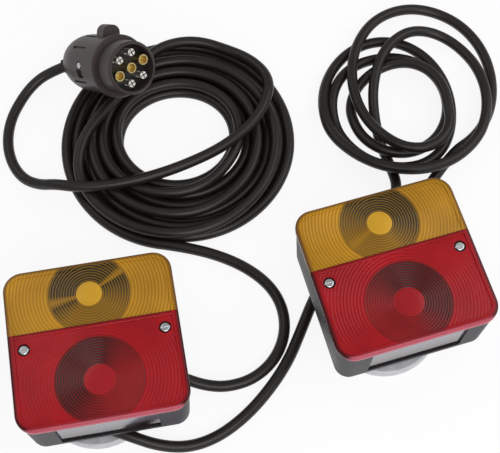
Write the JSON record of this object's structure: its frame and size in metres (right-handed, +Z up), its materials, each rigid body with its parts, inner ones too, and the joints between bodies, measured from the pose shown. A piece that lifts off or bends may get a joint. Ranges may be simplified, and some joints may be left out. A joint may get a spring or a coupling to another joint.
{
  "type": "magnetic trailer light set",
  "caption": "Magnetic trailer light set: square rear lamps with amber and red ring-optic lenses on round magnets, a coiled link lead, and a coiled main lead with a round multi-pin plug.",
  "frame": {"origin": "centre of the left lamp's magnet face, on the floor that the set lies on", "axes": "+X along the dividing line of the left lamp's lens, towards the right lamp; +Y from the plate window to the amber edge; +Z up, out of the lenses"},
  "size_m": [0.3615, 0.3057, 0.0829],
  "materials": {
    "housing_plastic": "fine satin moulding, dark grey",
    "clear_plastic": "clear, slightly frosted",
    "amber_plastic": "polished, with moulded rings",
    "red_plastic": "polished, with moulded rings",
    "seal_rubber": "matt black",
    "screw_steel": "bright zinc",
    "bulb_glass": "clear",
    "brass": "bright",
    "plated_steel": "zinc plated",
    "rivet_aluminium": "plain",
    "ferrite": "ground, dark",
    "plug_plastic": "satin, dark grey-brown",
    "cable_rubber": "satin black sheath"
  },
  "bodies": {
    "root": {"left_base": "housing_plastic", "left_plate_window": "clear_plastic", "left_lens_gasket": "seal_rubber", "left_amber_lens": "amber_plastic", "left_red_lens": "red_plastic", "left_lens_screws": "screw_steel", "left_indicator_bulb": "bulb_glass", "left_indicator_bulb_cap": "brass", "left_indicator_bulb_holder": "plated_steel", "left_tail_bulb": "bulb_glass", "left_tail_bulb_cap": "brass", "left_tail_bulb_holder": "plated_steel", "left_holder_rivets": "rivet_aluminium", "left_magnet_cup": "plated_steel", "left_magnet_ring": "ferrite", "left_magnet_spacer": "seal_rubber", "left_magnet_stud": "plated_steel", "left_magnet_nut": "plated_steel", "left_main_lead_grommet": "seal_rubber", "left_link_lead_grommet": "seal_rubber", "right_base": "housing_plastic", "right_plate_window": "clear_plastic", "right_lens_gasket": "seal_rubber", "right_amber_lens": "amber_plastic", "right_red_lens": "red_plastic", "right_lens_screws": "screw_steel", "right_indicator_bulb": "bulb_glass", "right_indicator_bulb_cap": "brass", "right_indicator_bulb_holder": "plated_steel", "right_tail_bulb": "bulb_glass", "right_tail_bulb_cap": "brass", "right_tail_bulb_holder": "plated_steel", "right_holder_rivets": "rivet_aluminium", "right_magnet_cup": "plated_steel", "right_magnet_ring": "ferrite", "right_magnet_spacer": "seal_rubber", "right_magnet_stud": "plated_steel", "right_magnet_nut": "plated_steel", "right_link_lead_grommet": "seal_rubber", "plug_front": "plug_plastic", "plug_cover": "plug_plastic", "plug_clamp_screw": "screw_steel", "plug_insert": "plug_plastic", "plug_pins": "plated_steel", "plug_sockets": "brass", "plug_boot": "seal_rubber", "main_coil": "cable_rubber", "link_coil": "cable_rubber", "main_lead_tail": "cable_rubber", "main_lead_feed": "cable_rubber", "link_lead_out": "cable_rubber", "link_lead_back": "cable_rubber"}
  },
  "joints": []
}
